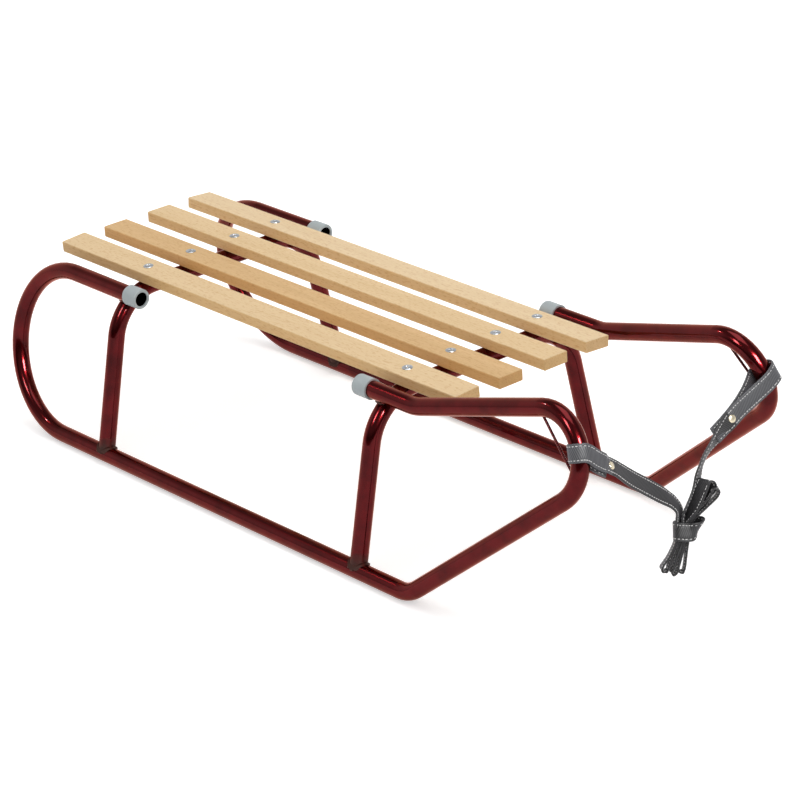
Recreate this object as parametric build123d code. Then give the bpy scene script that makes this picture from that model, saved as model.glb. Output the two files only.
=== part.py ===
"""Metal sled with a slatted wooden seat, built from bent round steel tube.

Frame, in millimetres: +X is forward, +Y is the sitter's left and +Z is up.
The origin lies on the ground under the middle of the rigid sled.

Each runner is one tube bent into an open loop. It lies in a plane that leans
inwards at the top, so the rails stand further apart than the seat. Two bent
hoops carry the seat: their legs stand on the bottom rails in the same leaning
planes, and the ends of the runner tubes are welded to their shoulders.
"""
import os
from math import asin, cos, degrees, radians, sin, tan

from build123d import *

os.makedirs("parts", exist_ok=True)

# Overall
OVERALL_LENGTH = 977.0     # tail of the runners to their nose
RAIL_SPREAD = 364.0        # between the axes of the two bottom rails
LEAN = 12.0                # degrees that each runner leans inwards
SEAT_HEIGHT = 224.0        # ground to the top of the inner slats

# Steel tube, the same for runners and hoops
TUBE_D = 20.0
TUBE_WALL = 1.5

# Runner. Insets run forward from its tail at the rear, and back from its nose at the front.
REAR_RISE = 5.2            # how much higher its rear end stands than a hoop's top
FRONT_RISE = 9.1           # and its front end
REAR_END_INSET = 238.5     # to the mouth of the rear end
FRONT_END_INSET = 351.0    # to the mouth of the front end
TOE_INSET = 237.5          # to where the bottom rail turns up
TOE_ANGLE = 38.7           # slope of the rising front, in degrees
TOE_R = 42.0
RISE_INSET = 259.5         # to where the top tube begins to climb towards the nose
RISE_ANGLE = 15.5
RISE_R = 60.0
UPRIGHT_STRAIGHT = 1.0     # what is left straight between the knee and nose bends

# Hoops
REAR_HOOP_INSET = 197.5
FRONT_HOOP_INSET = 321.5
HOOP_BEND_R = 62.0
WELD_THROAT = 2.5          # how far a foot's weld bead stands off both tubes
LEG_START_V = 3.0          # height of a hoop leg's cut end above the rail's axis
WELD_BALL_R = 7.0          # the puddle between a hoop's shoulder and a runner's end

# Seat
SLAT_WIDTH = 34.6
SLAT_THICKNESS = 13.6
SLAT_REAR_OVERHANG = 149.5
SLAT_FRONT_OVERHANG = 98.0
SLAT_EDGE_R = 1.4
SLAT_END_R = 1.0
CENTRE_GAP = 32.2
SEAT_MARGIN = 28.2         # from the corner of a hoop's axis in to the edge of the seat

# Plastic sleeves on the tube ends
SLEEVE_LENGTH = 22.0
SLEEVE_WALL = 2.0
SLEEVE_LIP = 1.8
SLEEVE_EDGE_R = 1.6

# Stop wires across the inside of the nose bends, set in by hand and so not quite alike
WIRE_D = 3.0
WIRE_TOP_PAST = {"right": 4.5, "left": -7.0}  # back from the nose bend's upper end to its top
WIRE_FOOT_RISE = {"right": 8.7, "left": 5.5}  # from the knee's corner up to its foot

# Pull strap, a flat band
STRAP_WIDTH = 20.0
STRAP_THICKNESS = 2.0
STRAP_AHEAD = 0.5          # from the runners' front to the upright plane of the strap
LOOP_RISE = 20.0           # how far each loop sits above the front end, up the lean
LOOP_CLEARANCE = 0.3
LOOP_SLACK = 12.0          # from the tube's axis back to the loop's fold
LOOP_FOLD_R = 2.5
LOOP_REACH = {"right": 35.5, "left": 69.0}    # from the tube's axis in to the rivet
LOOP_TILT = {"right": 20.0, "left": 14.0}     # degrees that a loop hangs from square

# Worked out from the values above, with v up the leaning plane from the rail's axis
TUBE_R = TUBE_D / 2
BORE_R = TUBE_R - TUBE_WALL
FRONT = OVERALL_LENGTH / 2
REAR_HOOP_X = REAR_HOOP_INSET - FRONT
FRONT_HOOP_X = FRONT - FRONT_HOOP_INSET
REAR_END_X = REAR_END_INSET - FRONT
FRONT_END_X = FRONT - FRONT_END_INSET
CROSS_Z = SEAT_HEIGHT - SLAT_THICKNESS - TUBE_R
REAR_TOP = (CROSS_Z - TUBE_R + REAR_RISE) / cos(radians(LEAN))
FRONT_TOP = (CROSS_Z - TUBE_R + FRONT_RISE) / cos(radians(LEAN))
REAR_BEND_R = REAR_TOP / 2
TAIL_X = TUBE_R + REAR_BEND_R - FRONT
TOE_X = FRONT - TOE_INSET
RISE_X = FRONT - RISE_INSET
NOSE_X = FRONT - TUBE_R
KNEE_V = (NOSE_X - TOE_X) * tan(radians(TOE_ANGLE))
NOSE_V = FRONT_TOP + (NOSE_X - RISE_X) * tan(radians(RISE_ANGLE))
KNEE_TAKES = tan(radians(90 - TOE_ANGLE) / 2)
NOSE_TAKES = tan(radians(90 + RISE_ANGLE) / 2)
NOSE_R = (NOSE_V - KNEE_V - UPRIGHT_STRAIGHT) / (KNEE_TAKES + NOSE_TAKES)
SLAT_LENGTH = FRONT_HOOP_X - REAR_HOOP_X + SLAT_REAR_OVERHANG + SLAT_FRONT_OVERHANG
CORNER_Y = RAIL_SPREAD / 2 - (CROSS_Z - TUBE_R) * tan(radians(LEAN))
SIDE_GAP = CORNER_Y - SEAT_MARGIN - CENTRE_GAP / 2 - 2 * SLAT_WIDTH
SLAT_X = REAR_HOOP_X - SLAT_REAR_OVERHANG + SLAT_LENGTH / 2
STRAP_X = FRONT + STRAP_AHEAD
LOOP_V = FRONT_TOP + LOOP_RISE
LOOP_Z = TUBE_R + LOOP_V * cos(radians(LEAN))
RIGHT, LEFT = -1, 1


def runner_plane(side):
    """The leaning plane of one runner: local x forward, local y up the lean."""
    lean = radians(LEAN)
    up = Vector(0, -side * sin(lean), cos(lean))
    return Plane(
        origin=(0, side * RAIL_SPREAD / 2, TUBE_R),
        x_dir=(1, 0, 0),
        z_dir=Vector(1, 0, 0).cross(up),
    )


def runner_path():
    """Axis of the runner tube, from its rear mouth round to its front mouth."""
    tail = CenterArc((TAIL_X, REAR_BEND_R), REAR_BEND_R, 90, 180)
    front = FilletPolyline(
        (TAIL_X, 0),
        (TOE_X, 0),
        (NOSE_X, KNEE_V),
        (NOSE_X, NOSE_V),
        (RISE_X, FRONT_TOP),
        (FRONT_END_X + SLEEVE_LIP, FRONT_TOP),
        radius=[TOE_R, NOSE_R, NOSE_R, RISE_R],
    )
    rear = Line((REAR_END_X - SLEEVE_LIP, REAR_TOP), (TAIL_X, REAR_TOP))
    return Wire([*rear.edges(), *tail.edges(), *front.edges()])


def hoop_path(x):
    """Axis of a hoop tube, up from one rail, over the seat and down to the other."""
    return FilletPolyline(
        on_runner(RIGHT, x, LEG_START_V),
        (x, -CORNER_Y, CROSS_Z),
        (x, CORNER_Y, CROSS_Z),
        on_runner(LEFT, x, LEG_START_V),
        radius=HOOP_BEND_R,
    )


def hoop_bend_start():
    """How far the level part of a hoop reaches from the middle, in y."""
    return CORNER_Y - HOOP_BEND_R * tan(radians(90 - LEAN) / 2)


def along(path, radius, bore=0.0):
    """A round bar, or a tube when it has a bore, that follows a path."""
    start = Plane(origin=path @ 0, z_dir=path % 0)
    section = Circle(radius)
    if bore:
        section -= Circle(bore)
    return sweep(start * section, path=path)


def rod(start, end, radius):
    """A straight round bar between two points."""
    axis = Vector(*end) - Vector(*start)
    plane = Plane(origin=start, z_dir=axis)
    return extrude(plane * Circle(radius), amount=axis.length)


def runner(side):
    """The bent tube of one runner; the right one is the mirror image of the left."""
    tube = along(runner_plane(LEFT) * runner_path(), TUBE_R, BORE_R)
    return tube if side == LEFT else mirror(tube, about=Plane.XZ)


def on_runner(side, x, v):
    """A point of the leaning plane in the sled's own frame."""
    return runner_plane(side).from_local_coords(Vector(x, v, 0))


def rail_bar(side, x, v, radius):
    """A bar along one runner's straight tube, at height v, across the hoop at x."""
    reach = 2 * TUBE_D
    return rod(on_runner(side, x - reach, v), on_runner(side, x + reach, v), radius)


def foot_weld(side, x, leg_grown):
    """The bead round the foot of a hoop's leg, where it sits on the rail."""
    return leg_grown & rail_bar(side, x, 0, TUBE_R + WELD_THROAT)


def shoulder_weld(side, x, top):
    """The puddle of weld between a runner's end and the outside of a hoop's bend."""
    bend = Vector(x, side * hoop_bend_start(), CROSS_Z - HOOP_BEND_R)
    out = on_runner(side, x, top) - bend
    middle = bend + out.normalized() * (HOOP_BEND_R + out.length) / 2
    return Pos(*middle) * Sphere(WELD_BALL_R)


def hoop(x, top):
    """One bent hoop, coped to the rails at its feet, with its four welds."""
    path = hoop_path(x)
    grown = along(path, TUBE_R + WELD_THROAT)
    body = along(path, TUBE_R)
    for side in (RIGHT, LEFT):
        body += foot_weld(side, x, grown)
        body += shoulder_weld(side, x, top)
    for side in (RIGHT, LEFT):
        body -= rail_bar(side, x, 0, TUBE_R)
        body -= rail_bar(side, x, top, TUBE_R)
    return body - along(path, BORE_R)


def slat(row):
    """One slat of the seat; rows 1 to 4 run from the right to the left side."""
    side = RIGHT if row < 3 else LEFT
    bend = hoop_bend_start()
    if row in (2, 3):
        place = Pos(SLAT_X, side * (CENTRE_GAP + SLAT_WIDTH) / 2, CROSS_Z + TUBE_R)
    else:
        y = CENTRE_GAP / 2 + SIDE_GAP + 1.5 * SLAT_WIDTH
        shoulder = HOOP_BEND_R + TUBE_R
        tilt = asin(max(0.0, y - bend) / shoulder)
        drop = shoulder * (1 - cos(tilt))
        place = Pos(SLAT_X, side * y, CROSS_Z + TUBE_R - drop) * Rot(-side * degrees(tilt), 0, 0)
    board = Box(SLAT_LENGTH, SLAT_WIDTH, SLAT_THICKNESS, align=(Align.CENTER, Align.CENTER, Align.MIN))
    board = fillet(board.edges().filter_by(Axis.X), SLAT_EDGE_R)
    ends = board.faces().filter_by(Axis.X)
    board = fillet(ends.edges(), SLAT_END_R)
    return place * board


def sleeve(side, x, v, inwards):
    """A sleeve over a tube end; inwards is the way from its mouth along the tube."""
    mouth = on_runner(side, x, v)
    plane = Plane(origin=mouth, z_dir=(inwards, 0, 0))
    body = extrude(plane * Circle(TUBE_R + SLEEVE_WALL), amount=SLEEVE_LENGTH)
    mouth_edge = body.edges().group_by(Axis.X)[0 if inwards > 0 else -1]
    body = fillet(mouth_edge, SLEEVE_EDGE_R)
    body -= extrude(plane * Circle(BORE_R), amount=SLEEVE_LENGTH)
    body -= extrude(plane.offset(SLEEVE_LIP) * Circle(TUBE_R), amount=SLEEVE_LENGTH)
    return body


def stop_wire(side, top_past, foot_rise):
    """The wire that closes off the nose bend, coped to the tube at both ends."""
    back = NOSE_R * NOSE_TAKES * cos(radians(RISE_ANGLE)) + top_past
    top = on_runner(side, NOSE_X - back, NOSE_V - back * tan(radians(RISE_ANGLE)))
    foot = on_runner(side, NOSE_X, KNEE_V + foot_rise)
    wire = rod(top, foot, WIRE_D / 2)
    return wire - along(runner_plane(side) * runner_path(), TUBE_R)


def strap_loop(side, reach, tilt):
    """The end of the strap round the nose bend of a runner, up to its rivet."""
    arc_v = NOSE_V - NOSE_R * NOSE_TAKES
    round_bend = asin(max(0.0, LOOP_V - arc_v) / NOSE_R)
    centre = on_runner(side, NOSE_X - NOSE_R * (1 - cos(round_bend)), LOOP_V)
    forward = on_runner(side, cos(round_bend), sin(round_bend)) - on_runner(side, 0, 0)
    along_tube = on_runner(side, -sin(round_bend), cos(round_bend)) - on_runner(side, 0, 0)
    plane = Plane(origin=centre, x_dir=forward, z_dir=along_tube)
    plane = plane.rotated((side * tilt, 0, 0))
    inward = 1 if plane.y_dir.Y * side < 0 else -1
    tip_x = (STRAP_X - centre.X) / cos(round_bend)
    hug = TUBE_R + LOOP_CLEARANCE + STRAP_WIDTH / 2 * tan(radians(tilt))
    bow = STRAP_WIDTH ** 2 / 8 / (NOSE_R - TUBE_R)
    outline = Sketch() + [
        Circle(hug),
        Pos(-bow, 0) * Circle(hug),
        Pos(-LOOP_SLACK, 0) * Circle(LOOP_FOLD_R),
        Pos(tip_x, inward * reach) * Circle(STRAP_THICKNESS / 2),
    ]
    opening = make_hull(outline.edges())
    band = offset(opening, STRAP_THICKNESS) - opening
    return extrude(plane * band, amount=STRAP_WIDTH / 2, both=True)


def strap_arm(points):
    """A stretch of the strap hanging in its upright plane; prints its bend radii."""
    route = [Vector(STRAP_X, y, LOOP_Z - drop) for y, drop in points]
    radii = []
    for before, corner, after in zip(route, route[1:], route[2:]):
        turn = (corner - before).get_angle(after - corner)
        shorter = min((corner - before).length, (after - corner).length)
        radii.append(0.45 * shorter / tan(radians(turn) / 2))
    path = FilletPolyline(*route, radius=radii)
    start = Plane(origin=path @ 0, x_dir=(1, 0, 0), z_dir=path % 0)
    print("strap radii", [round(r) for r in radii], "length", round(path.length, 1))
    return sweep(start * Rectangle(STRAP_THICKNESS, STRAP_WIDTH), path=path)


# The strap's route from each rivet to the knot, as (y, drop below the loops' middle)
RIGHT_ROUTE = [(-104, 16), (-78, 45), (-38, 75), (-11, 94), (-7, 120)]
LEFT_ROUTE = [(72, 27), (46, 42), (25, 65), (18, 86)]

# Hank of the folded strap, in the plane of its folds: along the stack, and up from the knot
HANK_DROP = 130.0
HANK_Y = 3.0
HANK_TURN = 50.0           # degrees from forward to the stack's direction
LOWER_FOLDS = [(-25, -37, 5), (-17, -45, 5), (-8, -42, 4)]
UPPER_FOLDS = [(17, 50, 5), (25, 49, 5), (28, 42, 5)]
WAIST = (24.0, 22.0)       # the bound middle: along the stack, and high
WAIST_ASIDE = -2.5         # from the hank's upright line, along the stack
WRAP_GROW = 2.0            # how far the wrap stands out from the waist


def hank_plane():
    turn = radians(HANK_TURN)
    return Plane(
        origin=(STRAP_X, HANK_Y, LOOP_Z - HANK_DROP),
        x_dir=(cos(turn), sin(turn), 0),
        z_dir=(sin(turn), -cos(turn), 0),
    )


def strap_hank():
    """The folded strap as one body: a fan of loops below and above its waist."""
    waist = Pos(WAIST_ASIDE, 0) * Rectangle(*WAIST)
    body = None
    for folds in (LOWER_FOLDS, UPPER_FOLDS):
        circles = [Pos(u, z) * Circle(r) for u, z, r in folds]
        fan = make_hull((Sketch() + circles + [waist]).edges())
        solid = extrude(hank_plane() * fan, amount=STRAP_WIDTH / 2, both=True)
        body = solid if body is None else body + solid
    return body


def strap_wrap():
    """The turn of strap that binds the hank at its waist."""
    block = Box(WAIST[0] + 2 * WRAP_GROW, WAIST[1] - 2, STRAP_WIDTH + 2 * WRAP_GROW)
    block = fillet(block.edges().filter_by(Axis.Y), 2 * WRAP_GROW)
    return hank_plane() * Pos(WAIST_ASIDE, 0, 0) * block - strap_hank()


pieces = {
    "runner_right": runner(RIGHT),
    "runner_left": runner(LEFT),
    "hoop_rear": hoop(REAR_HOOP_X, REAR_TOP),
    "hoop_front": hoop(FRONT_HOOP_X, FRONT_TOP),
}
for row in (1, 2, 3, 4):
    pieces[f"slat_{row}"] = slat(row)
for name, side in (("right", RIGHT), ("left", LEFT)):
    pieces[f"sleeve_rear_{name}"] = sleeve(side, REAR_END_X, REAR_TOP, -1)
    pieces[f"sleeve_front_{name}"] = sleeve(side, FRONT_END_X, FRONT_TOP, 1)
    pieces[f"stop_wire_{name}"] = stop_wire(side, WIRE_TOP_PAST[name], WIRE_FOOT_RISE[name])
    pieces[f"strap_loop_{name}"] = strap_loop(side, LOOP_REACH[name], LOOP_TILT[name])
pieces["strap_arm_right"] = strap_arm(RIGHT_ROUTE)
pieces["strap_arm_left"] = strap_arm(LEFT_ROUTE)
pieces["strap_hank"] = strap_hank()
pieces["strap_wrap"] = strap_wrap()

for name, piece in pieces.items():
    export_step(piece, f"parts/{name}.step")
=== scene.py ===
# %% [markdown]
# # A tubular steel sled, dressed in Blender
#
# The sled is a bent steel frame in dark red lacquer, with four beech slats, grey plastic sleeves on
# the tube ends, and a flat pull strap that is still folded and tied as it leaves the shop. A solid
# model made beforehand gives every rigid piece its size and place. This lesson loads that model,
# gives each surface its finish, and models what is soft or small: the strap with its stitching,
# the rivets, the screws and the weld beads.

import math

import bmesh
import bpy
from mathutils import Matrix, Vector, noise


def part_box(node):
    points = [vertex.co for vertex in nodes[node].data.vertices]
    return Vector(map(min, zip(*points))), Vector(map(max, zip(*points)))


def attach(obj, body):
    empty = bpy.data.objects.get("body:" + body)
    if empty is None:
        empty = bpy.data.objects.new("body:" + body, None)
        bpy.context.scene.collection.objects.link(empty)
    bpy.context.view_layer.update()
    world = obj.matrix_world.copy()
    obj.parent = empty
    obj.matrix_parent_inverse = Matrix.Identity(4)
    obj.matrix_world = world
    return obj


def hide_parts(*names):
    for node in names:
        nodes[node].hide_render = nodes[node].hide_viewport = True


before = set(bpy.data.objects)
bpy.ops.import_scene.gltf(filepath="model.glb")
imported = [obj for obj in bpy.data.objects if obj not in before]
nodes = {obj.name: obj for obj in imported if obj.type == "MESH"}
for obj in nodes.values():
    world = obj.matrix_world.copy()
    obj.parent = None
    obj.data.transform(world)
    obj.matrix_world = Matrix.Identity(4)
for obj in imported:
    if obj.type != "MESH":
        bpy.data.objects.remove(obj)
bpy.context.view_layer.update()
print("pieces of the frame:", ", ".join(sorted(nodes)))

# %% [markdown]
# ## The camera
#
# A long lens from a few metres away keeps the two runners nearly parallel. The camera is placed by
# its heading, its dip below the horizon and a slight roll, and these three angles are turned into
# its axes. That is easier to adjust than a look-at target, because each number does one thing.

# %% Place the camera
CAMERA_PLACE = Vector((2.6931, -2.2407, 1.6249))
CAMERA_HEADING = math.radians(49.83)   # 0 looks along +Y, 90 along -X
CAMERA_DIP = math.radians(23.48)
CAMERA_ROLL = math.radians(-3.29)
LENS = 149.65


def camera_axes(heading, dip, roll):
    """The camera's right, up and backward directions."""
    ahead = Vector((-math.sin(heading) * math.cos(dip), math.cos(heading) * math.cos(dip), -math.sin(dip)))
    level = Vector((math.cos(heading), math.sin(heading), 0))
    upward = level.cross(ahead)
    right = level * math.cos(roll) + upward * math.sin(roll)
    up = upward * math.cos(roll) - level * math.sin(roll)
    return right, up, -ahead


camera = bpy.data.objects.new("camera", bpy.data.cameras.new("camera"))
bpy.context.scene.collection.objects.link(camera)
camera.data.lens = LENS
camera.matrix_world = Matrix.Translation(CAMERA_PLACE) @ (
    Matrix(camera_axes(CAMERA_HEADING, CAMERA_DIP, CAMERA_ROLL)).transposed().to_4x4()
)
bpy.context.scene.camera = camera
bpy.context.scene.view_settings.view_transform = "Standard"
print("camera at", tuple(round(v, 3) for v in CAMERA_PLACE), "lens", LENS, "mm")

# %% [markdown]
# ## The line of the strap
#
# The strap is one flat band, 20 mm wide. From a loop round the right nose it hangs to a knot in
# the middle, is folded up and down there like a bundle of ribbon, and climbs to a loop round the
# left nose. Its line is a smooth spline through a few chosen points. Each point also says which
# way the band's width lies, so the band can turn edge-on where the folds are tied.
#
# Points on the hanging stretches are given in the sled's own directions. Points in the folds are
# given in the knot's own directions: across the stack of folds, along the band's width, and up.

# %% Points of the strap, in millimetres
MM = 0.001
STRAP_WIDTH = 20 * MM
STRAP_THICKNESS = 2 * MM
KNOT = Vector((489, 3, 99))
KNOT_TURN = math.radians(50)
ACROSS = Vector((math.cos(KNOT_TURN), math.sin(KNOT_TURN), 0))
TOWARD = Vector((math.sin(KNOT_TURN), -math.cos(KNOT_TURN), 0))
UP = Vector((0, 0, 1))


def in_knot(u, w, z):
    """A point in the knot's directions as a point of the sled, both in millimetres."""
    return KNOT + ACROSS * u + TOWARD * w + UP * z


def width_in_knot(u, w, z):
    """A direction of the band's width, given in the knot's directions."""
    return (ACROSS * u + TOWARD * w + UP * z).normalized()


def as_vectors(rows):
    return [(Vector(point), Vector(width)) for point, width in rows]


def tied(points, width):
    """Points in the knot's directions, all with the band lying the same way."""
    return [(in_knot(*point), width) for point in points]


# From the right rivet down to the knot, and from the knot up to the left rivet
hanging_right = as_vectors([
    ((489, -106, 209), (-0.60, 0.50, 0.62)),
    ((489, -100, 204.8), (-0.60, 0.50, 0.62)),
    ((489, -94, 199.5), (-0.56, 0.52, 0.64)),
    ((489, -77, 184.3), (-0.45, 0.55, 0.70)),
    ((489, -58, 169.8), (-0.42, 0.56, 0.71)),
    ((489, -38.4, 154.5), (-0.43, 0.56, 0.71)),
    ((489, -22, 141.8), (-0.62, 0.52, 0.58)),
    ((489, -12.4, 131.8), (-0.60, 0.66, 0.45)),
    ((488.5, -8.2, 122.3), (-0.42, 0.88, 0.22)),
    ((487.5, -7.5, 113), (-0.38, 0.92, 0.05)),
]) + [(in_knot(-9, 2, 7), width_in_knot(0.25, -0.95, 0))]
hanging_left = [
    (in_knot(-5, -1, 10), width_in_knot(0.15, -0.98, -0.1)),
    (Vector((489, -1, 121)), width_in_knot(0.30, -0.93, -0.1)),
] + as_vectors([
    ((489, 9.5, 132.5), (-0.45, 0.87, -0.10)),
    ((489, 17.4, 144.2), (-0.41, 0.90, -0.17)),
    ((489, 20.2, 155.6), (-0.41, 0.87, -0.29)),
    ((489, 24.8, 165.2), (-0.50, 0.71, -0.50)),
    ((489, 31.8, 175.3), (-0.50, 0.68, -0.54)),
    ((489, 39, 181), (-0.45, 0.57, -0.69)),
    ((489, 46.5, 186.5), (-0.30, 0.56, -0.77)),
    ((489, 54, 191.8), (-0.10, 0.54, -0.84)),
    ((489, 63, 197.2), (0.15, 0.49, -0.86)),
    ((489, 71.7, 202.3), (0.36, 0.47, -0.81)),
])

# Each fold goes out from the knot's waist and comes back to it
fold_left = [(-13, 2, -12), (-17, 2, -22), (-22, 2, -32), (-27, 2, -39), (-29, 2, -45),
             (-23.5, 2, -47.3), (-21.5, 2, -41), (-17.5, 2, -28), (-11, 2, -12)]
fold_high = [(1, 0, 11), (8, 0, 20), (17, 0, 30), (24, 0, 38), (27, 0, 46.5),
             (33, 0, 45), (32, 0, 37), (23, 0, 28), (12.5, 0, 18), (5, -1, 11)]
fold_right = [(-1, -2, -12), (-6, -2, -26), (-9, -2, -38), (-11.5, -2, -47),
              (-6.5, -2, -52), (-3.8, -2, -44), (-2.4, -2, -31), (0.3, -2, -12)]
EDGE_ON = width_in_knot(0, -0.95, -0.30)

folds = ([(-13, 2, 0)] + fold_left + [(-8, 1, 0)] + fold_high
         + [(2, -1, 0)] + fold_right + [(2, -1, 0)])
strap_line = hanging_right + tied(folds, EDGE_ON) + hanging_left
print("the strap's line has", len(strap_line), "points")

# %% [markdown]
# ## Reading a smooth line from the points
#
# A NURBS spline of order 3 bends smoothly near its points without passing through the sharp
# corners between them. Blender turns the spline into a row of vertices, and those are the points
# that the band's cross-sections follow. The width at each vertex is blended between the widths of
# the chosen points on either side of it.

# %% From chosen points to a smooth line
VERTEX_STEP = 1.0 * MM
EARLY_BIAS = 0.02                      # where the line passes close to itself, earlier vertices win


def smooth_line(points):
    """Vertices, in metres, along the NURBS spline whose control points are these."""
    curve = bpy.data.curves.new("line", "CURVE")
    curve.dimensions = "3D"
    spline = curve.splines.new("NURBS")
    spline.points.add(len(points) - 1)
    for control, point in zip(spline.points, points):
        control.co = (*(point * MM), 1)
    spline.order_u = 3
    spline.use_endpoint_u = True
    spline.resolution_u = 12
    guide = bpy.data.objects.new("line", curve)
    bpy.context.scene.collection.objects.link(guide)
    bpy.context.view_layer.update()
    mesh = bpy.data.meshes.new_from_object(guide)
    line = [v.co.copy() for v in mesh.vertices]
    bpy.data.objects.remove(guide)
    bpy.data.curves.remove(curve)
    bpy.data.meshes.remove(mesh)
    return line


def thinned(line, step):
    """The same line without the vertices that lie closer together than step."""
    kept = [line[0]]
    for point in line[1:-1]:
        if (point - kept[-1]).length >= step:
            kept.append(point)
    return kept + [line[-1]]


def widths_along(line, controls):
    """The band's width direction at each vertex, blended between the chosen points."""
    nearest, start = [], 0
    for point, _ in controls:
        span = range(start, len(line))
        best = min(span, key=lambda i: (line[i] - point * MM).length + EARLY_BIAS * (i - start) * MM)
        nearest.append(best)
        start = best
    nearest[0], nearest[-1] = 0, len(line) - 1
    widths, k = [], 0
    for i in range(len(line)):
        while k < len(controls) - 2 and i >= nearest[k + 1]:
            k += 1
        span = max(1, nearest[k + 1] - nearest[k])
        share = min(1, max(0, (i - nearest[k]) / span))
        widths.append(controls[k][1].lerp(controls[k + 1][1], share).normalized())
    return widths


def length_of(line):
    return sum((b - a).length for a, b in zip(line, line[1:]))


strap_path = thinned(smooth_line([point for point, _ in strap_line]), VERTEX_STEP)
print("strap line:", len(strap_path), "vertices,", round(length_of(strap_path), 3), "m")

# %% [markdown]
# ## The band
#
# A flat band is a thin rounded profile carried along the line. A curve with a bevel could do it,
# but its twist is hard to steer, so here the rings of vertices are laid one by one: at each vertex
# the profile lies along the width, and a shallow groove runs where each row of stitches pulls the
# band in. The same function makes the long strap, its extra folds, the two loops and the binding.

# %% Lay a band along a line
# Half of the band's outline in millimetres, with its groove 2.8 in from each edge
BAND_PROFILE = [(-10.0, 0.0), (-9.8, 0.65), (-9.2, 1.0), (-7.9, 1.0), (-7.2, 0.72), (-6.5, 1.0),
                (-3.0, 1.05), (0.0, 1.05), (3.0, 1.05), (6.5, 1.0), (7.2, 0.72), (7.9, 1.0),
                (9.2, 1.0), (9.8, 0.65)]


def band_axes(line, widths):
    """At each vertex of a line: its direction, the width across it, and the face's normal."""
    axes = []
    for i, width in enumerate(widths):
        along = (line[min(i + 1, len(line) - 1)] - line[max(i - 1, 0)]).normalized()
        across = (width - along * width.dot(along)).normalized()
        axes.append((along, across, along.cross(across)))
    return axes


def mesh_object(name, verts, faces):
    """A smooth-shaded object made of these vertices and faces."""
    mesh = bpy.data.meshes.new(name)
    mesh.from_pydata([tuple(v) for v in verts], [], faces)
    mesh.validate()
    mesh.polygons.foreach_set("use_smooth", [True] * len(mesh.polygons))
    made = bpy.data.objects.new(name, mesh)
    bpy.context.scene.collection.objects.link(made)
    return made


def band(name, line, widths):
    """A flat band as a closed mesh, with texture coordinates in metres along and across it."""
    profile = [(x * MM, y * MM) for x, y in BAND_PROFILE + [(-x, -y) for x, y in BAND_PROFILE]]
    verts, faces = [], []
    for point, (along, across, normal) in zip(line, band_axes(line, widths)):
        verts += [point + across * x + normal * y for x, y in profile]
    ring = len(profile)
    for i in range(len(line) - 1):
        for j in range(ring):
            a, b = i * ring + j, i * ring + (j + 1) % ring
            faces.append((a, a + ring, b + ring, b))
    faces.append(tuple(range(ring)))
    faces.append(tuple(reversed(range((len(line) - 1) * ring, len(line) * ring))))
    made = mesh_object(name, verts, faces)
    for end in made.data.polygons[-2:]:
        end.use_smooth = False
    add_band_uv(made, line, ring)
    return made


def add_band_uv(made, line, ring):
    """Texture coordinates: metres along the band, and metres across its face."""
    run = [0.0]
    for a, b in zip(line, line[1:]):
        run.append(run[-1] + (b - a).length)
    layer = made.data.uv_layers.new(name="along_and_across")
    half = ring // 2
    for face in made.data.polygons:
        for loop in face.loop_indices:
            v = made.data.loops[loop].vertex_index
            j = v % ring
            side = j if j < half else ring - j
            layer.data[loop].uv = (run[v // ring], (side / half) * STRAP_WIDTH)


strap = band("pull_strap", strap_path, widths_along(strap_path, strap_line))
print("pull strap:", len(strap.data.polygons), "faces")

# %% [markdown]
# ## More folds, the binding and the two loops
#
# The rest of the strap's length lies between the folds of its main line. These folds are bands of
# their own: tied strands lie so close together that one line through all of them couldn't be told
# from a tangle. The binding is one turn of strap round the waist, whose right end is pushed out
# into a slanting bight. Each loop goes round a runner's nose bend and back to its rivet.

# %% Points of the other folds and of the binding
inner_folds = [(-9.5, 0, 6), (-9, 0, -2), (-9, 0, -12), (-13, 0, -24), (-18, 0, -36), (-21.5, 0, -44),
               (-18, 0, -47), (-15.5, 0, -42), (-14, 0, -34), (-10.5, 0, -24), (-6.5, 0, -12),
               (-4, 0, 0), (0.5, 0, 13), (5.5, 1, 25), (11.5, 1, 38), (16, 1, 49), (19, 0, 55.5),
               (24, -3, 52.5), (25, -4, 45), (19, -4, 37), (12, -4, 26), (5, -3, 13), (0, -2, 0),
               (-4.5, -1, -12), (-10.5, -1, -28), (-14, -1, -41), (-18, -1, -48), (-16, -1, -53),
               (-12, -1, -49), (-11, -1, -41), (-8.5, -1, -28), (-3, -1, -12), (-1, 0, 0), (-1, 0, 7)]
OPENING = width_in_knot(-0.25, -0.95, -0.1)
OPEN_FOLD = width_in_knot(-0.60, -0.78, -0.18)
inner_line = (tied(inner_folds[:12], EDGE_ON) + tied(inner_folds[12:13], OPENING)
              + tied(inner_folds[13:21], OPEN_FOLD) + tied(inner_folds[21:], EDGE_ON))

LEANING = width_in_knot(0.14, -0.42, 0.90)
binding_line = tied([(3, -11.5, -5), (-5, -12.5, -6), (-12.5, -11, -5), (-15, 0, -1.5)], UP)
binding_line += tied([(-13.6, 12.5, 3.3), (-5, 14, 2.8)], LEANING)
binding_line += [
    (in_knot(1.5, 14, 2.4), width_in_knot(0.38, -0.35, 0.86)),
    (in_knot(5.5, 13, 3), width_in_knot(0.52, -0.22, 0.83)),
    (in_knot(10.2, 10, 4.2), width_in_knot(0.54, -0.1, 0.84)),
    (in_knot(13.3, 4, 5), width_in_knot(0.54, 0, 0.84)),
    (in_knot(10.5, -2, 3), width_in_knot(0.5, 0, 0.87)),
    (in_knot(4, -9, -3), width_in_knot(0.3, 0, 0.95)),
]
binding_line += tied([(-1, -13.5, -8), (-8, -14.5, -9)], UP)

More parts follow.
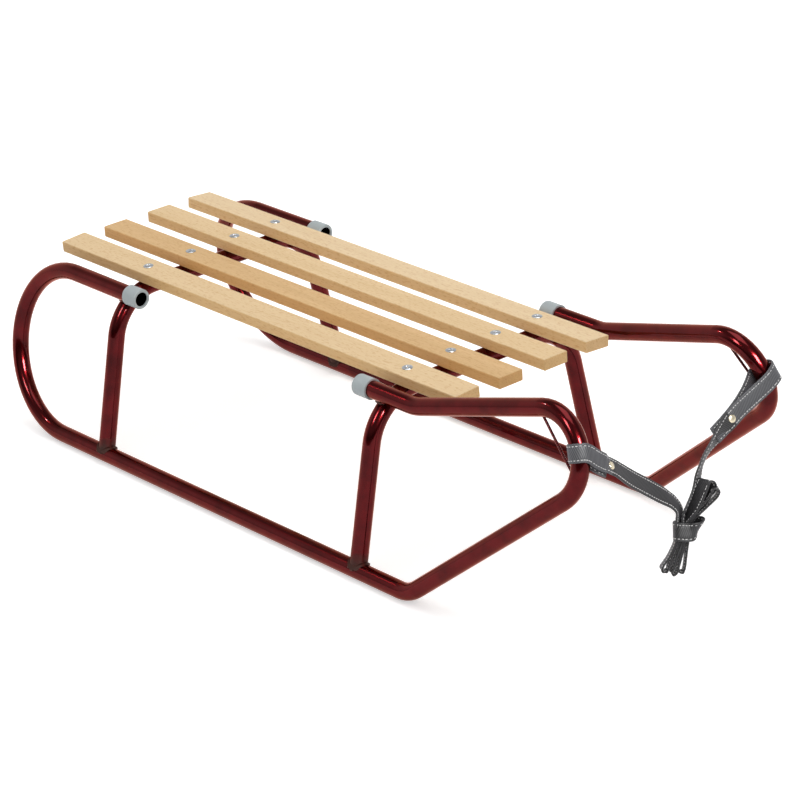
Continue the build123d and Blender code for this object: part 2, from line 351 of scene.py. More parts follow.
# %% Points of the loops, in each loop's own directions
RUNNER_LEAN = math.radians(12)
LOOP_TURN = math.radians(19.5)         # how far round the nose bend a loop sits
LOOP_MIDDLE = {"right": Vector((475.6, -135.4, 229.1)), "left": Vector((475.6, 135.4, 229.1))}
SIDE = {"right": -1, "left": 1}


def loop_axes(name):
    """Forward off the tube, inward to the seat's middle, and along the tube upwards."""
    side = SIDE[name]
    lean_up = Vector((0, -side * math.sin(RUNNER_LEAN), math.cos(RUNNER_LEAN)))
    forward = Vector((math.cos(LOOP_TURN), 0, 0)) + lean_up * math.sin(LOOP_TURN)
    along_tube = Vector((-math.sin(LOOP_TURN), 0, 0)) + lean_up * math.cos(LOOP_TURN)
    inward = Vector((0, -side * math.cos(RUNNER_LEAN), -math.sin(RUNNER_LEAN)))
    return forward, inward, along_tube


def in_loop(name, f, i, t):
    forward, inward, along_tube = loop_axes(name)
    return LOOP_MIDDLE[name] + forward * f + inward * i + along_tube * t


def lying(name, inward, along):
    """A direction of the band's width on a loop, by its inward and its along-the-tube share."""
    _, inwards, along_tube = loop_axes(name)
    return (inwards * inward + along_tube * along).normalized()


# Each loop starts at its rivet, where it carries on from the hanging strap without a seam
loop_points = {
    "right": [(9.4, 24, -13), (10.5, 12, -7.5), (11.65, 3, -2), (11.65, -4.2, 0.5),
              (6.2, -10.7, 0.5), (-2.2, -12.2, 0.5), (-9.5, -8, 0.5), (-12.4, 0, 0.5),
              (-10.2, 7.1, 0), (-4, 14, -5), (1, 20, -12), (4, 26, -17.5), (4.5, 31, -19.5)],
    "left": [(9.2, 54, -13.2), (10.5, 39, -11), (12.5, 23, -8.3), (14, 8, -6), (14.5, -4, -2.5),
             (9.5, -11.5, -0.5), (0, -13.5, 0.5), (-8.5, -9, 1), (-11.5, 0, 1), (-9.5, 8, 0),
             (-4.5, 20, -4.5), (1.5, 37.5, -9.5), (4.5, 57, -14.8), (5.5, 79, -19.5), (6, 95, -22)],
}
CREST_TURN = {"right": 0.0, "left": 0.42}      # how much the band turns inward on a loop's crest
CREST_HALF = 12                                # millimetres of the crest to either side
LEAD_IN = 5                                    # millimetres straight on past the rivet
loop_lines = {}
for name, points in loop_points.items():
    line = hanging_right if name == "right" else list(reversed(hanging_left))
    rivet, width = line[0]
    ahead = (rivet - line[1][0]).normalized()
    if width.dot(loop_axes(name)[2]) < 0:
        width = -width
    loop_lines[name] = [(rivet, width), (rivet + ahead * LEAD_IN, width)]
    for f, i, t in points:
        crest = max(0.0, 1 - abs(i + 2) / CREST_HALF) if f > 0 else 0.0
        loop_lines[name].append((in_loop(name, f, i, t), lying(name, CREST_TURN[name] * crest, 1)))

# %% Make the folds, the binding and the loops
def band_through(name, controls):
    path = thinned(smooth_line([point for point, _ in controls]), VERTEX_STEP)
    made = band(name, path, widths_along(path, controls))
    print(name, round(length_of(path), 3), "m")
    return made, path


inner, inner_path = band_through("strap_inner_folds", inner_line)
binding, binding_path = band_through("strap_binding", binding_line)
loops = {name: band_through(f"strap_loop_band_{name}", controls) for name, controls in loop_lines.items()}

# %% [markdown]
# ## Stitching
#
# Two rows of white thread run along both faces. Real stitches are short and plump, and they catch
# the light as separate dashes, so each one is a small mesh: a bead of thread that dips into the
# band at both ends. All the stitches of the strap are one piece.

# %% Sew the rows of stitches
STITCH_INSET = 2.8 * MM
STITCH_PITCH = 3.7 * MM
STITCH_LENGTH = 2.5 * MM
STITCH_SUNK = 0.72                     # of half the band's thickness, to the floor of the groove
THREAD_R = 0.48 * MM
THREAD_SIDES = 6
# Place along a stitch, girth and rise, as shares of its length and of the thread's radius
STITCH_SHAPE = [(-0.5, 0.35, -0.2), (-0.33, 0.85, 0.45), (0.0, 1.0, 0.75),
                (0.33, 0.85, 0.45), (0.5, 0.35, -0.2)]


def around(sides):
    """The angles of a ring of vertices."""
    return [2 * math.pi * k / sides for k in range(sides)]


def ring_faces(sides, rings, first=0):
    """Quads between rings of vertices, then a flat face over the first ring and over the last."""
    faces = []
    for i in range(rings - 1):
        for k in range(sides):
            a, b = first + i * sides + k, first + i * sides + (k + 1) % sides
            faces.append((a, b, b + sides, a + sides))
    last = first + (rings - 1) * sides
    return faces + [tuple(range(first + sides - 1, first - 1, -1)), tuple(range(last, last + sides))]


def stitch(verts, faces, middle, along, across, normal):
    """One plump stitch lying on a face of the band."""
    faces += ring_faces(THREAD_SIDES, len(STITCH_SHAPE), first=len(verts))
    for run, girth, rise in STITCH_SHAPE:
        centre = middle + along * (run * STITCH_LENGTH) + normal * (rise * THREAD_R)
        for turn in around(THREAD_SIDES):
            verts.append(centre + (across * math.cos(turn) + normal * math.sin(turn)) * THREAD_R * girth)


def sew(name, bands):
    """Rows of stitches along both edges and on both faces of every band, as one mesh."""
    verts, faces = [], []
    for path, widths in bands:
        axes = band_axes(path, widths)
        run, due = 0.0, STITCH_PITCH / 2
        for i in range(len(path) - 1):
            run += (path[i + 1] - path[i]).length
            if run < due or run > length_of(path) - STITCH_LENGTH / 2:
                continue
            due += STITCH_PITCH
            along, across, normal = axes[i]
            for edge in (-1, 1):
                for face in (-1, 1):
                    sideways = across * edge * (STRAP_WIDTH / 2 - STITCH_INSET)
                    place = path[i] + sideways + normal * face * (STRAP_THICKNESS / 2 * STITCH_SUNK)
                    stitch(verts, faces, place, along, across * face, normal * face)
    made = mesh_object(name, verts, faces)
    print(name, len(faces), "faces")
    return made


sewn = [(strap_path, widths_along(strap_path, strap_line)),
        (inner_path, widths_along(inner_path, inner_line)),
        (binding_path, widths_along(binding_path, binding_line))]
sewn += [(loops[name][1], widths_along(loops[name][1], loop_lines[name])) for name in loops]
stitching = sew("strap_stitching", sewn)

# %% [markdown]
# ## Turned parts: rivets and screws
#
# Anything made on a lathe or cold-headed can be spun from half of its outline. The rivets that
# close the loops are low domes with a rolled rim. The screws that hold the slats are wide, flat
# pan heads with a cross recess, which is cut by pushing four wings of the top face down.

# %% Spin an outline into a round part
def spun(name, outline, middle, axis, sides=32):
    """A closed round part from half an outline of (radius, height), both in millimetres."""
    turn = axis.normalized().to_track_quat("Z", "Y").to_matrix()
    verts = []
    for radius, height in outline:
        for a in around(sides):
            verts.append(middle + turn @ (Vector((radius * math.cos(a), radius * math.sin(a), height)) * MM))
    return mesh_object(name, verts, ring_faces(sides, len(outline)))


RIVET_OUTLINE = [(3.9, -0.3), (4.3, 0.1), (4.35, 0.5), (4.1, 0.85), (3.5, 1.15), (2.6, 1.4),
                 (1.4, 1.55), (0.4, 1.6)]
RIVET_BACK = 1.6                       # band thicknesses from the loop's middle to the back head
rivets = []
for name, (_, path) in loops.items():
    _, _, normal = band_axes(path, widths_along(path, loop_lines[name]))[0]
    outward = normal if normal.dot(TOWARD) > 0 else -normal
    face = path[0] + outward * STRAP_THICKNESS / 2
    rivets.append(spun(f"rivet_head_{name}", RIVET_OUTLINE, face, outward))
    back = path[0] - outward * STRAP_THICKNESS * RIVET_BACK
    rivets.append(spun(f"rivet_back_{name}", RIVET_OUTLINE, back, -outward))
print("rivets:", ", ".join(r.name for r in rivets))

# %% Screws with a cross recess
SCREW_X = {"rear": -291.0, "front": 169.0}
SCREW_OUTLINE = [(5.7, 0), (6.05, 0.25), (6.1, 0.6), (5.8, 1.0), (5.0, 1.35), (3.9, 1.6)]
SCREW_SUNK = 0.1 * MM                  # into the wood
SCREW_SIDES = 48
TOP_RINGS = 16                         # rings of vertices across the top, for a crisp recess
CROWN = 0.25                           # how much the top rises to its middle
RECESS_REACH = 3.1
RECESS_HALF = 0.8
RECESS_DEPTH = 1.9
SLAT_WIDTH = 34.6 * MM
SLAT_THICKNESS = 13.6 * MM


def screw_head(name, middle, axis, turned):
    """A pan head: a spun rim closed by fine rings of vertices, with a cross pressed into them."""
    turn = axis.normalized().to_track_quat("Z", "Y").to_matrix() @ Matrix.Rotation(turned, 3, "Z")
    edge_r, top = SCREW_OUTLINE[-1]
    outline = SCREW_OUTLINE + [(edge_r * (1 - i / TOP_RINGS), top) for i in range(1, TOP_RINGS)]
    verts = []
    for radius, height in outline:
        for a in around(SCREW_SIDES):
            x, y = radius * math.cos(a), radius * math.sin(a)
            wing = min(abs(x), abs(y)) < RECESS_HALF and max(abs(x), abs(y)) < RECESS_REACH
            crown = CROWN * (1 - (radius / edge_r) ** 2) if radius < edge_r else 0
            fall = RECESS_DEPTH if wing and radius <= edge_r else 0
            verts.append(middle + turn @ (Vector((x, y, height + crown - fall)) * MM))
    verts.append(middle + turn @ (Vector((0, 0, top - RECESS_DEPTH)) * MM))
    *faces, last = ring_faces(SCREW_SIDES, len(outline))
    faces += [(a, b, len(verts) - 1) for a, b in zip(last, last[1:] + last[:1])]
    return mesh_object(name, verts, faces)


def slat_top(row):
    """The middle of a slat's top face in y and z, in metres, and the way that face looks."""
    low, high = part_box(f"slat_{row}")
    leaning = {1: -1, 4: 1}.get(row, 0)
    tilt = leaning * math.asin(min(1.0, (high.z - low.z - SLAT_THICKNESS) / SLAT_WIDTH))
    outward = Vector((0, math.sin(tilt), math.cos(tilt)))
    centre = Vector((0, (low.y + high.y) / 2, (low.z + high.z) / 2))
    return centre + outward * SLAT_THICKNESS / 2, outward


screws = []
for row in (1, 2, 3, 4):
    place, outward = slat_top(row)
    for end, x in SCREW_X.items():
        middle = Vector((x * MM, place.y, place.z)) - outward * SCREW_SUNK
        turned = 0.7 * row + (0.4 if end == "rear" else 0)      # no two are driven to the same angle
        screws.append(screw_head(f"screw_{end}_{row}", middle, outward, turned))
print(len(screws), "screw heads")

# %% [markdown]
# ## Weld beads
#
# Each hoop is welded to the rails at its feet, and to the ends of the runners at its shoulders. A
# hand-laid bead is a row of overlapping puddles. Here each puddle is a small ball on the line where
# two tubes meet, and a voxel remesh melts the row into one lumpy skin.

# %% Lay the weld beads
noise.seed_set(7)                      # the same lumps each time
HOOP_X = {"rear": -291.0, "front": 167.0}
TUBE_R = 10.0
RAIL_HALF_SPREAD = 182.0
RUNNER_END_V = {"rear": 200.0, "front": 204.0}
HOOP_BEND_R = 62.0
CROSS_Z = 200.4
FOOT_PUDDLES = 22
FOOT_BEAD_R = 1.5
FOOT_SPREAD = 1.06                     # the bead's ring is a little longer than the tube is wide,
FOOT_RISE = 1.02                       # a little higher,
FOOT_LIFT = 0.6                        # and lifted by this much
SHOULDER_PUDDLES = 16
SHOULDER_BEAD_R = 2.4
SHOULDER_HALF = (8.2, 6.4)             # half the length and half the height of a shoulder's ring
LUMPINESS = 0.22                       # share by which a puddle's radius varies
WANDER = 0.5                           # how far a puddle strays from the line
REMESH_VOXEL = 0.55 * MM


def on_runner(name, x, v, out=0.0):
    """A point on a runner's leaning plane, in millimetres, v up from the rail's axis."""
    side = SIDE[name]
    up = Vector((0, -side * math.sin(RUNNER_LEAN), math.cos(RUNNER_LEAN)))
    outward = Vector((0, side * math.cos(RUNNER_LEAN), math.sin(RUNNER_LEAN)))
    return Vector((x, side * RAIL_HALF_SPREAD, TUBE_R)) + up * v + outward * out


def foot_line(name, x):
    """Where a leg's tube meets the rail's tube, as a closed row of points."""
    row = []
    for turn in around(FOOT_PUDDLES):
        rise = TUBE_R * abs(math.cos(turn))
        forward = TUBE_R * math.cos(turn) * FOOT_SPREAD
        row.append(on_runner(name, x + forward, rise * FOOT_RISE + FOOT_LIFT, TUBE_R * math.sin(turn)))
    return row


def shoulder_line(name, x, v):
    """A row of points round the contact of a hoop's bend and the end of a runner."""
    side = SIDE[name]
    corner = RAIL_HALF_SPREAD - (CROSS_Z - TUBE_R) * math.tan(RUNNER_LEAN)
    bend_y = corner - HOOP_BEND_R * math.tan((math.pi / 2 - RUNNER_LEAN) / 2)
    bend = Vector((x, side * bend_y, CROSS_Z - HOOP_BEND_R))
    end = on_runner(name, x, v)
    out = (end - bend).normalized()
    touch = bend + out * (HOOP_BEND_R + (end - bend).length) / 2
    level = Vector((1, 0, 0))
    across = out.cross(level)
    long_half, short_half = SHOULDER_HALF
    return [touch + level * long_half * math.cos(turn) + across * short_half * math.sin(turn)
            for turn in around(SHOULDER_PUDDLES)]


def weld_bead(name, row, radius, seed):
    """A lumpy bead: one ball for each point, melted together."""
    bm = bmesh.new()
    for k, point in enumerate(row):
        lump = 1 + LUMPINESS * noise.noise(Vector((seed * 3.1, k * 0.83, 0.5)))
        spot = point + noise.noise_vector(Vector((seed, k * 1.7, 2.0))) * WANDER
        place = Matrix.Translation(spot * MM) @ Matrix.Scale(radius * lump * MM, 4)
        bmesh.ops.create_icosphere(bm, subdivisions=2, radius=1.0, matrix=place)
    mesh = bpy.data.meshes.new(name)
    bm.to_mesh(mesh)
    bm.free()
    bead = bpy.data.objects.new(name, mesh)
    bpy.context.scene.collection.objects.link(bead)
    melt = bead.modifiers.new("melt", "REMESH")
    melt.mode = "VOXEL"
    melt.voxel_size = REMESH_VOXEL
    ease = bead.modifiers.new("ease", "SMOOTH")
    ease.factor, ease.iterations = 0.5, 2
    solid = bpy.data.meshes.new_from_object(bead.evaluated_get(bpy.context.evaluated_depsgraph_get()))
    bead.modifiers.clear()
    bead.data = solid
    solid.polygons.foreach_set("use_smooth", [True] * len(solid.polygons))
    return bead


welds = []
for number, (end, x) in enumerate(HOOP_X.items()):
    for name in SIDE:
        seed = number * 2 + (name == "left")
        welds.append(weld_bead(f"weld_foot_{end}_{name}", foot_line(name, x), FOOT_BEAD_R, seed))
        shoulder = shoulder_line(name, x, RUNNER_END_V[end])
        welds.append(weld_bead(f"weld_shoulder_{end}_{name}", shoulder, SHOULDER_BEAD_R, seed + 7))
print(len(welds), "weld beads,", sum(len(w.data.polygons) for w in welds), "faces")

# %% [markdown]
# ## Finishes: helpers and shared effects
#
# Every finish is a small tree of nodes. One helper feeds a socket, either with a link or with a
# plain value, and the others each make one kind of node and hand back its output. Patterns lie in
# the sled's own coordinates, in metres, so they keep their size on every piece. Only the ribs of the
# strap's cloth follow the band instead.
#
# Two effects serve more than one finish, so each is a node group that is built once. "wear" gives
# soft cloudy patches, which change a colour or a gloss a little from place to place. "grain" gives
# the long fibres and short flecks of beech, and darkens the faces that don't look up: partly the end
# grain's own tone, partly painted shade on the sides.

# %% Helpers for nodes
def feed(tree, socket, value):
    """Link an output to a socket, or set the socket's own value."""
    if isinstance(value, bpy.types.NodeSocket):
        tree.links.new(value, socket)
    elif socket.type == "RGBA":
        socket.default_value = (*value, 1)
    else:
        socket.default_value = value


def set_inputs(tree, node, **values):
    """Feed a node's inputs by name, with _ for each space."""
    for key, value in values.items():
        feed(tree, node.inputs[key.replace("_", " ")], value)


def add(tree, kind, **values):
    """A new node with its properties set and its inputs fed."""
    made = tree.nodes.new(kind)
    for key, value in values.items():
        if hasattr(made, key):
            setattr(made, key, value)
        else:
            set_inputs(tree, made, **{key: value})
    return made


def calculate(tree, operation, *values, kind="ShaderNodeMath", result=0):
    made = add(tree, kind, operation=operation)
    for socket, value in zip(made.inputs, values):
        feed(tree, socket, value)
    return made.outputs[result]


def remap(tree, value, low, high, to_low=0.0, to_high=1.0):
    """A value that runs from low to high, made to run from to_low to to_high and kept there."""
    made = add(tree, "ShaderNodeMapRange", Value=value,
               From_Min=low, From_Max=high, To_Min=to_low, To_Max=to_high)
    return made.outputs["Result"]


def mix(tree, factor, first, second, kind="RGBA", how="MIX"):
    """The first value where the factor is 0, and the second where it is 1."""
    made = add(tree, "ShaderNodeMix", data_type=kind, blend_type=how, Factor=factor, A=first, B=second)
    return made.outputs["Result"]


def in_sled(tree):
    """The sled's own coordinates, in metres."""
    return add(tree, "ShaderNodeTexCoord").outputs["Object"]


def soft_noise(tree, scale, detail, where=None, **values):
    where = in_sled(tree) if where is None else where
    made = add(tree, "ShaderNodeTexNoise", Vector=where, Scale=scale, Detail=detail, **values)
    return made.outputs["Fac"]


def bump(tree, height, strength, distance):
    return add(tree, "ShaderNodeBump", Height=height, Strength=strength, Distance=distance).outputs["Normal"]


def new_material(name):
    made = bpy.data.materials.new(name)
    made.use_nodes = True
    return made, made.node_tree, made.node_tree.nodes["Principled BSDF"]


def node_group(name, inputs, outputs):
    """A new shader node group with named float or colour sockets."""
    group = bpy.data.node_groups.new(name, "ShaderNodeTree")
    for socket, value in inputs.items():
        kind = "NodeSocketColor" if isinstance(value, tuple) else "NodeSocketFloat"
        made = group.interface.new_socket(socket, in_out="INPUT", socket_type=kind)
        made.default_value = (*value, 1) if isinstance(value, tuple) else value
    for socket, kind in outputs.items():
        group.interface.new_socket(socket, in_out="OUTPUT", socket_type=kind)
    return group, group.nodes.new("NodeGroupInput"), group.nodes.new("NodeGroupOutput")


# %% Build the group for wear
wear, wear_in, wear_out = node_group("wear", {"Size": 60.0}, {"Mask": "NodeSocketFloat"})
feed(wear, wear_out.inputs["Mask"], soft_noise(wear, wear_in.outputs["Size"], 4.0, Roughness=0.6))


def worn(tree, size):
    """The mask of the wear group. A larger size gives smaller patches."""
    return add(tree, "ShaderNodeGroup", node_tree=wear, Size=size).outputs["Mask"]


# %% Build the group for wood grain
FLECK_TINT = (0.78, 0.62, 0.46)
FLECK_STRENGTH = 0.50
END_GRAIN_AND_SIDE_SHADE_TINT = (1.0, 0.88, 0.70)          # the ends and sides are warmer and darker than the tops: partly the end grain's own tone, partly painted shade on the sides

grain, grain_in, grain_out = node_group(
    "grain", {"Pale": (0.8, 0.6, 0.4), "Deep": (0.6, 0.4, 0.2), "Shift": 0.0, "Figure": 0.5},
    {"Color": "NodeSocketColor", "Fibres": "NodeSocketFloat"})
shift = grain_in.outputs["Shift"]
shift_vector = add(grain, "ShaderNodeCombineXYZ", X=shift, Y=shift, Z=shift).outputs["Vector"]
in_log = calculate(grain, "ADD", in_sled(grain), shift_vector, kind="ShaderNodeVectorMath", result="Vector")


def along_the_board(scale, detail, **values):
    """Noise with its own scale along each axis of the sled, so it can be drawn out into fibres."""
    drawn_out = add(grain, "ShaderNodeMapping", Vector=in_log, Scale=scale)
    return soft_noise(grain, 1.0, detail, where=drawn_out.outputs["Vector"], **values)


fibres = along_the_board((24, 520, 520), 5.0, Roughness=0.62)
streaks = along_the_board((3, 60, 60), 2.0, Roughness=0.5, Distortion=0.4)
flecks = remap(grain, along_the_board((150, 620, 620), 1.0), 0.55, 0.68)
figure = mix(grain, grain_in.outputs["Figure"], fibres, streaks, kind="FLOAT")
wood = mix(grain, remap(grain, figure, 0.3, 0.7), grain_in.outputs["Pale"], grain_in.outputs["Deep"])
wood = mix(grain, calculate(grain, "MULTIPLY", flecks, FLECK_STRENGTH), wood, FLECK_TINT, how="MULTIPLY")
# Faces that don't look up are darkened and warmed: partly the end grain's own tone, partly painted shade on
# the sides
facing = add(grain, "ShaderNodeSeparateXYZ", Vector=add(grain, "ShaderNodeNewGeometry").outputs["Normal"])
end_grain_and_side_shade = remap(grain, calculate(grain, "ABSOLUTE", facing.outputs["Z"]), 0.25, 0.8, 1.0, 0.0)
wood = mix(grain, end_grain_and_side_shade, wood, END_GRAIN_AND_SIDE_SHADE_TINT, how="MULTIPLY")
set_inputs(grain, grain_out, Color=wood, Fibres=fibres)
print("groups:", ", ".join(g.name for g in bpy.data.node_groups))

# %% [markdown]
# ## Lacquer
#
# The frame wears a see-through red over bright metal, so it is nearly black where it mirrors
# nothing and bright red where it mirrors a lamp. A metallic red base does that, and a thin clear
# coat on top adds the crisp white edge of each highlight. A metal seen along its surface turns
# white, so the base is also tinted red there. The spray leaves a faint orange peel. At the hoops'
# feet the heat of welding has left the lacquer brown and dull for a finger's width.

# %% Mix the lacquer
LACQUER_RED = (0.096, 0.0045, 0.006)
DEEP_SHARE = (0.62, 0.60, 0.60)        # of each colour channel, in the deeper patches
SCORCHED_BROWN = (0.045, 0.020, 0.016)
SCORCHED_ROUGHNESS = 0.62
SCORCHED_EDGE = 0.012                  # metres by which the edge of the scorched zone wanders


def scorched(tree, low, high):
    """1 near the welded feet, fading out between two heights in metres."""
    height = add(tree, "ShaderNodeSeparateXYZ", Vector=in_sled(tree)).outputs["Z"]
    uneven = calculate(tree, "MULTIPLY_ADD", soft_noise(tree, 160.0, 3.0), SCORCHED_EDGE, height)
    return remap(tree, uneven, low + SCORCHED_EDGE / 2, high + SCORCHED_EDGE / 2, 1.0, 0.0)


def lacquer(name, base, metallic, lumps, peel_depth=0.05, rough_low=0.14, scorch=None):
    made, tree, shader = new_material(name)
    patches = worn(tree, 34.0)
    deep = tuple(channel * share for channel, share in zip(base, DEEP_SHARE))
    colour = mix(tree, remap(tree, patches, 0.42, 0.66), base, deep)
    roughness = remap(tree, patches, 0.3, 0.7, rough_low, rough_low + 0.1)
    if scorch:
        near_foot = scorched(tree, *scorch)
        colour = mix(tree, near_foot, colour, SCORCHED_BROWN)
        roughness = mix(tree, near_foot, roughness, SCORCHED_ROUGHNESS, kind="FLOAT")
    peel = bump(tree, soft_noise(tree, lumps, 2.0), peel_depth, 0.0006)
    set_inputs(tree, shader, Base_Color=colour, Roughness=roughness, Normal=peel, Metallic=metallic,
               Specular_Tint=(1.0, 0.55, 0.47), Coat_Weight=0.3, Coat_Roughness=0.03, Coat_IOR=1.4)
    return made


red_lacquer = lacquer("red_lacquer", LACQUER_RED, 1.0, 110)
hoop_lacquer = lacquer("hoop_lacquer", LACQUER_RED, 1.0, 110, scorch=(0.020, 0.034))
weld_lacquer = lacquer("weld_lacquer", (0.060, 0.020, 0.016), 0.7, 700, peel_depth=0.3, rough_low=0.40)
wire_lacquer = lacquer("wire_lacquer", (0.09, 0.010, 0.012), 0.9, 500)

# %% [markdown]
# ## Beech
#
# Beech is pale and even, with fine long fibres and short brown flecks. No two boards match, so
# each slat gets its own pair of colours and its own stretch of grain from the same group. A thin
# satin varnish leaves it a soft sheen.

# %% Saw four boards of beech
BOARDS = {                             # pale and deep colour, shift of the grain, share of streaks
    1: ((0.85, 0.640, 0.380), (0.76, 0.535, 0.285), 0.00, 0.45),
    2: ((0.77, 0.510, 0.245), (0.65, 0.405, 0.175), 0.37, 0.55),
    3: ((0.85, 0.630, 0.365), (0.75, 0.525, 0.270), 0.81, 0.45),
    4: ((0.87, 0.675, 0.425), (0.79, 0.575, 0.325), 1.33, 0.40),
}


def beech(name, pale, deep, shift_by, figure):
    made, tree, shader = new_material(name)
    board = add(tree, "ShaderNodeGroup", node_tree=grain, Pale=pale, Deep=deep, Shift=shift_by, Figure=figure)
    raised = board.outputs["Fibres"]
    set_inputs(tree, shader, Base_Color=board.outputs["Color"], Specular_IOR_Level=0.3,
               Roughness=remap(tree, raised, 0.2, 0.8, 0.48, 0.62), Normal=bump(tree, raised, 0.25, 0.0002))
    return made


boards = {row: beech(f"beech_{row}", *values) for row, values in BOARDS.items()}

# %% [markdown]
# ## Plastic, zinc and brass
#
# The sleeves are moulded in a cool grey plastic with a fine matt texture. The screws are zinc
# plated and a little cloudy, and the rivets are pale brass. In all three the wear shifts the colour
# and the roughness together, so one function makes them.

# %% Mould the plastic and plate the metal
def cloudy(name, size, clean, dull, rough, pores=0.0, **values):
    """A finish whose colour and roughness drift together. Other values go to its shader."""
    made, tree, shader = new_material(name)
    patches = worn(tree, size)
    set_inputs(tree, shader, Base_Color=mix(tree, patches, clean, dull),
               Roughness=remap(tree, patches, 0.3, 0.7, *rough), **values)
    if pores:
        set_inputs(tree, shader, Normal=bump(tree, soft_noise(tree, pores, 1.0), 0.15, 0.0001))
    return made


grey_plastic = cloudy("grey_plastic", 70.0, (0.44, 0.49, 0.50), (0.37, 0.415, 0.43), (0.42, 0.55),
                      pores=1400.0, IOR=1.48)
zinc = cloudy("screw_zinc", 260.0, (0.56, 0.58, 0.61), (0.30, 0.32, 0.34), (0.28, 0.45), Metallic=1.0)
brass = cloudy("rivet_brass", 260.0, (0.86, 0.78, 0.60), (0.62, 0.54, 0.38), (0.22, 0.36), Metallic=1.0)

# %% [markdown]
# ## Strap cloth and thread
#
# The strap is a coated cloth with very fine ribs at a slant. The band carries its own coordinates
# in metres, so the ribs keep their size round every fold. A soft sheen lifts its edges, as worn
# fibres do. One function weaves the cloth in two tones of painted light and shade: a paler copy on
# the loops, which face the light, and a darker copy on the arms, folds and binding. The thread is
# plain white with a twist that is too fine to model, so it is a bump.

# %% Weave the strap and spin the thread
RIB_SLANT = math.radians(38)
WORN_TINT = (0.72, 0.70, 0.70)       # the worn patches are a little darker


def strap_cloth(name, valley, ridge):
    made, tree, shader = new_material(name)
    along_band = add(tree, "ShaderNodeUVMap", uv_map="along_and_across").outputs["UV"]
    slanted = add(tree, "ShaderNodeMapping", Vector=along_band, Rotation=(0, 0, RIB_SLANT)).outputs["Vector"]
    wave = add(tree, "ShaderNodeTexWave", Vector=slanted, Scale=190.0, Distortion=1.2, Detail=1.0)
    ribs = wave.outputs["Fac"]
    colour = mix(tree, ribs, valley, ridge)
    colour = mix(tree, worn(tree, 120.0), colour, WORN_TINT, how="MULTIPLY")
    set_inputs(tree, shader, Base_Color=colour, Roughness=remap(tree, ribs, 0.0, 1.0, 0.62, 0.48),
               Normal=bump(tree, ribs, 0.5, 0.0002), Specular_IOR_Level=0.35,
               Sheen_Weight=0.18, Sheen_Roughness=0.5, Sheen_Tint=(0.75, 0.72, 0.80))
    return made


def thread_white():
    made, tree, shader = new_material("stitch_thread")
    twist = soft_noise(tree, 1800.0, 2.0)
    set_inputs(tree, shader, Base_Color=mix(tree, twist, (0.92, 0.91, 0.90), (0.76, 0.75, 0.74)),
               Roughness=remap(tree, twist, 0.3, 0.7, 0.6, 0.8), Normal=bump(tree, twist, 0.4, 0.0001))
    return made


# Two tones of one cloth: the darker one, on the arms, folds and binding, is the cloth's dark grey deepened as
# painted shade, and the paler one on the loops is painted light
cloth = strap_cloth("strap_cloth", (0.019, 0.019, 0.020), (0.055, 0.054, 0.057))
lit_cloth_copy = strap_cloth("strap_cloth_painted_light", (0.058, 0.060, 0.067), (0.175, 0.179, 0.194))
thread = thread_white()
print("materials:", ", ".join(m.name for m in bpy.data.materials))

# %% [markdown]
# ## Who wears what, and what moves with what
#
# The rigid pieces keep their solid shapes and only change material. The new pieces are given a
# material and the body that they ride on.
# The strap's soft pieces stand in for the plain solids that held their place.

# %% Dress the solid model
def wears(piece, material):
    piece.data.materials.clear()
    piece.data.materials.append(material)


finishes = {"runner_right": red_lacquer, "runner_left": red_lacquer,
            "hoop_rear": hoop_lacquer, "hoop_front": hoop_lacquer,
            "stop_wire_right": wire_lacquer, "stop_wire_left": wire_lacquer}
finishes.update({f"sleeve_{end}_{name}": grey_plastic for end in ("rear", "front") for name in SIDE})
finishes.update({f"slat_{row}": board for row, board in boards.items()})
for name, material in finishes.items():
    wears(nodes[name], material)
print(len(finishes), "pieces of the solid model dressed")

# %% Dress the new pieces and attach them
loop_bands = [made for made, _ in loops.values()]
# The arms, folds and binding wear the darker cloth as painted shade, and the loops wear the paler copy as
# painted light
for pieces, material, slot in (([strap, inner, binding], cloth, "strap_webbing"),
                               (loop_bands, lit_cloth_copy, "strap_webbing"),
                               ([stitching], thread, None), (screws, zinc, None), (rivets, brass, None),
                               (welds, weld_lacquer, "frame_lacquer")):
    for piece in pieces:
        wears(piece, material)
        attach(piece, "sled")
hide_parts("strap_arm_right", "strap_arm_left")
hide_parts("strap_hank")
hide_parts("strap_wrap")
for name, (made, _) in loops.items():
    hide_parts(f"strap_loop_{name}")

# %% [markdown]
# ## The strap hangs free
#
# The strap hangs limp between the two noses. It leaves the right loop at the rivet and goes back
# into the left loop at the other rivet.

# %% [markdown]
# ## Floor, light and sky
#
# The floor and the world are plain white to the camera, while the light that falls on the sled is
# softer, so pale wood keeps its colour. Dark glossy lacquer shows whatever stands round it, so in a
# mirror the world is a studio: a white backdrop on one side, which the floor runs up to, and a dim
# room on the other. A wide lamp overhead lights the tops. Three more lamps are seen in gloss alone:
# they draw the long thin highlights along the tubes, and leave the wood as it is.

# %% Lay the floor
FLOOR_GLOW = 0.48


def seen_straight(tree):
    """1 for a ray from the camera, a mirror or glass, and 0 for the rays that light the sled."""
    ray = add(tree, "ShaderNodeLightPath").outputs
    seen = calculate(tree, "MAXIMUM", ray["Is Camera Ray"], ray["Is Glossy Ray"])
    return calculate(tree, "MAXIMUM", seen, ray["Is Transmission Ray"])


def floor_white():
    made, tree, shader = new_material("floor_white")
    glow = calculate(tree, "MULTIPLY", seen_straight(tree), FLOOR_GLOW)
    set_inputs(tree, shader, Base_Color=(0.9, 0.9, 0.9), Roughness=1.0, Specular_IOR_Level=0.0,
               Emission_Color=(1, 1, 1), Emission_Strength=glow)
    return made


bpy.ops.mesh.primitive_grid_add(x_subdivisions=2, y_subdivisions=2, size=30)
floor = bpy.context.object
floor.name = "floor"
wears(floor, floor_white())

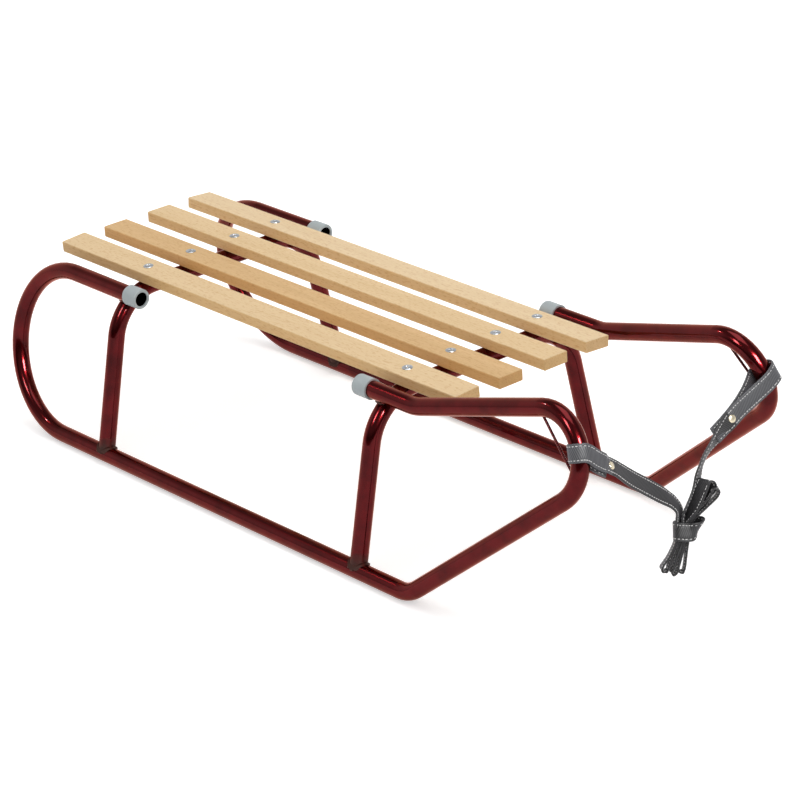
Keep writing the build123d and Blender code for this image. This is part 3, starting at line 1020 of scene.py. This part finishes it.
# %% Light the world
BRIGHT_SIDE = (-0.77, 0.64, 0.0)       # the way to the lit backdrop, away from the lamps
PLAIN_LIGHT = 0.66                     # what the world sends to matt surfaces

world = bpy.data.worlds.new("studio")
bpy.context.scene.world = world
world.use_nodes = True
sky = world.node_tree
way = add(sky, "ShaderNodeTexCoord").outputs["Generated"]
height = add(sky, "ShaderNodeSeparateXYZ", Vector=way).outputs["Z"]
bright = calculate(sky, "DOT_PRODUCT", way, BRIGHT_SIDE, kind="ShaderNodeVectorMath", result="Value")
room = remap(sky, height, 0.10, 0.30, 0.04, 0.30)
backdrop = remap(sky, height, 0.45, 0.70, 1.0, 0.30)
studio = mix(sky, remap(sky, bright, -0.25, 0.25), room, backdrop, kind="FLOAT")
ray = add(sky, "ShaderNodeLightPath").outputs
mirrored = mix(sky, ray["Is Glossy Ray"], PLAIN_LIGHT, studio, kind="FLOAT")
straight = calculate(sky, "MAXIMUM", ray["Is Camera Ray"], ray["Is Transmission Ray"])
seen = mix(sky, straight, mirrored, 1.0, kind="FLOAT")
set_inputs(sky, sky.nodes["Background"], Color=(1, 1, 1), Strength=seen)


# %% Hang the lamps
def lamp(name, heading, height, away, size, level, gloss_only=True):
    """An area lamp looking at the sled: heading and height in degrees, level is its brightness."""
    around, up = math.radians(heading), math.radians(height)
    place = Vector((math.cos(up) * math.cos(around), math.cos(up) * math.sin(around), math.sin(up))) * away
    light = bpy.data.lights.new(name, "AREA")
    light.shape = "RECTANGLE"
    light.size, light.size_y = size
    light.energy = level * math.pi * size[0] * size[1]
    made = bpy.data.objects.new(name, light)
    bpy.context.scene.collection.objects.link(made)
    made.location = place
    made.rotation_euler = (-place).to_track_quat("-Z", "Y").to_euler()
    made.visible_diffuse = not gloss_only
    return made


lamp("lamp_overhead", 45, 84, 2.6, (2.0, 1.4), 2.4, gloss_only=False)
lamp("lamp_front_left", -88, 42, 3.0, (0.5, 0.8), 20.0)
lamp("lamp_front_right", -14, 34, 3.0, (0.9, 0.9), 64.0)
lamp("lamp_spark", -146, 47, 3.0, (0.12, 0.18), 100.0)
print("world and lamps set")
